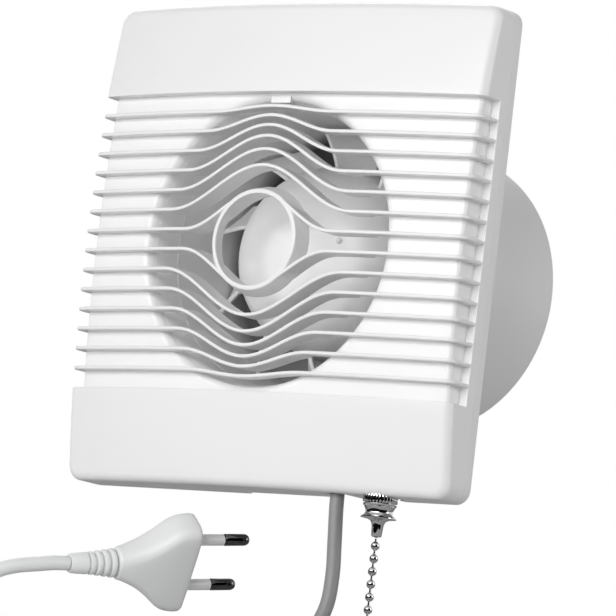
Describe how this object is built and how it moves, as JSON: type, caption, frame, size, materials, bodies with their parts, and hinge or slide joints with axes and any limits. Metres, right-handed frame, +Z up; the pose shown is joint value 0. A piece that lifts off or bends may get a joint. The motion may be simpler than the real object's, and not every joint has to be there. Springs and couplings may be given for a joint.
{
  "type": "bathroom exhaust fan",
  "caption": "Wall-mounted axial exhaust fan: square ribbed cover with a raised ring, round duct spigot behind, pull-chain switch below, and a coiled mains lead with a flat two-pin plug.",
  "frame": {"origin": "the point where the duct's axis crosses the plane of the wall, which is the back of the wall plate", "axes": "+Z up, +X to the right as seen from the room, +Y into the wall along the duct"},
  "size_m": [0.158, 0.1774, 0.2888],
  "materials": {
    "cover_plastic": "satin white moulded plastic",
    "base_plastic": "satin white moulded plastic",
    "impeller_plastic": "white moulded plastic",
    "switch_plastic": "off-white moulded plastic",
    "knob_plastic": "glossy white plastic",
    "chrome_plate": "bright plated",
    "chain_metal": "nickel plated",
    "bright_steel": "bright steel",
    "motor_steel": "zinc-coated sheet steel",
    "bronze": "plain metal",
    "copper_wire": "enamelled copper wire",
    "lead_jacket": "soft grey cable jacket",
    "wire_grey": "wire insulation",
    "wire_brown": "wire insulation",
    "wire_blue": "wire insulation",
    "tie_strap": "woven strap",
    "plug_plastic": "satin white moulded plastic",
    "pin_sleeve": "white sleeve",
    "pin_metal": "nickel plated"
  },
  "bodies": {
    "housing": {"front_cover": "cover_plastic", "wall_plate": "base_plastic", "duct_spigot": "base_plastic", "front_bearing": "bronze", "rear_bearing": "bronze", "motor_case": "motor_steel", "stator_core": "motor_steel", "front_winding": "copper_wire", "rear_winding": "copper_wire", "motor_screw_1": "bright_steel", "motor_screw_2": "bright_steel", "motor_screw_3": "bright_steel", "terminal_block": "switch_plastic", "terminal_screw_1": "bronze", "terminal_screw_2": "bronze", "terminal_screw_3": "bronze", "cable_clamp": "switch_plastic", "clamp_screw_1": "bright_steel", "clamp_screw_2": "bright_steel", "cable_grommet": "lead_jacket", "inner_cable": "lead_jacket", "motor_lead": "wire_grey", "live_wire": "wire_brown", "switched_wire": "wire_blue", "switch_body": "switch_plastic", "rocker_pin": "bright_steel", "switch_spring": "bright_steel", "switch_stem": "chrome_plate", "switch_nut": "chrome_plate", "switch_bell": "chrome_plate", "mains_cable": "lead_jacket", "cable_coil": "lead_jacket", "coil_tie": "tie_strap", "plug_lead": "lead_jacket", "plug_relief": "plug_plastic", "plug_body": "plug_plastic", "pin_sleeve_1": "pin_sleeve", "pin_sleeve_2": "pin_sleeve", "pin_tip_1": "pin_metal", "pin_tip_2": "pin_metal"},
    "rotor": {"impeller": "impeller_plastic", "shaft_collar": "impeller_plastic", "motor_shaft": "bright_steel", "rotor_core": "motor_steel"},
    "puller": {"pull_rod": "bright_steel"},
    "rocker": {"switch_rocker": "switch_plastic"},
    "chain": {"pull_chain": "chain_metal", "chain_knob": "knob_plastic"}
  },
  "joints": [
    {"name": "impeller_spin", "type": "hinge", "parent": "housing", "child": "rotor", "pos_m": [0, 0.012, 0], "axis": [0, 1, 0], "continuous": true},
    {"name": "chain_pull", "type": "slide", "parent": "housing", "child": "puller", "axis": [0, 0, -1], "range_m": [0, 0.004], "stiffness_N_per_m": 500, "springref_m": -0.003, "deforming": ["switch_spring"]},
    {"name": "rocker_turn", "type": "hinge", "parent": "housing", "child": "rocker", "pos_m": [0.0486, -0.01175, -0.06234], "axis": [0, 1, 0], "range_deg": [0, 25]},
    {"name": "chain_swing", "type": "hinge", "parent": "puller", "child": "chain", "pos_m": [0.052, -0.01175, -0.09564], "axis": [0, 1, 0], "range_deg": [-10, 10]}
  ],
  "couplings": [
    {"joint": "rocker_turn", "follows": "chain_pull", "rad_per_m": 109}
  ]
}
